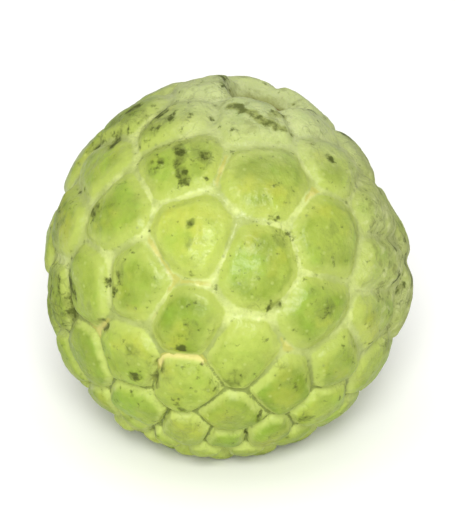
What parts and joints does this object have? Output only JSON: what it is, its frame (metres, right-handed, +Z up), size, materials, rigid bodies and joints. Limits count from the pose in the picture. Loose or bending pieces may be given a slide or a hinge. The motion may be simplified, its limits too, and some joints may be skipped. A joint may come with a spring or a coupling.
{
  "type": "custard apple",
  "caption": "Round green custard apple with a knobbly skin of grown-together segments and pale seams, resting on a small flat spot.",
  "frame": {"origin": "middle of the flat spot that the fruit rests on, at ground height", "axes": "+Z up, square to the flat spot; -Y towards the side whose segments show best; the stem end leans about 19 degrees away from +Z, to the right and back"},
  "size_m": [0.0808, 0.08, 0.0804],
  "materials": {
    "skin": "satin",
    "stalk_bark": "matte"
  },
  "bodies": {
    "root": {"fruit": "skin", "stalk_stump": "stalk_bark"}
  },
  "joints": []
}
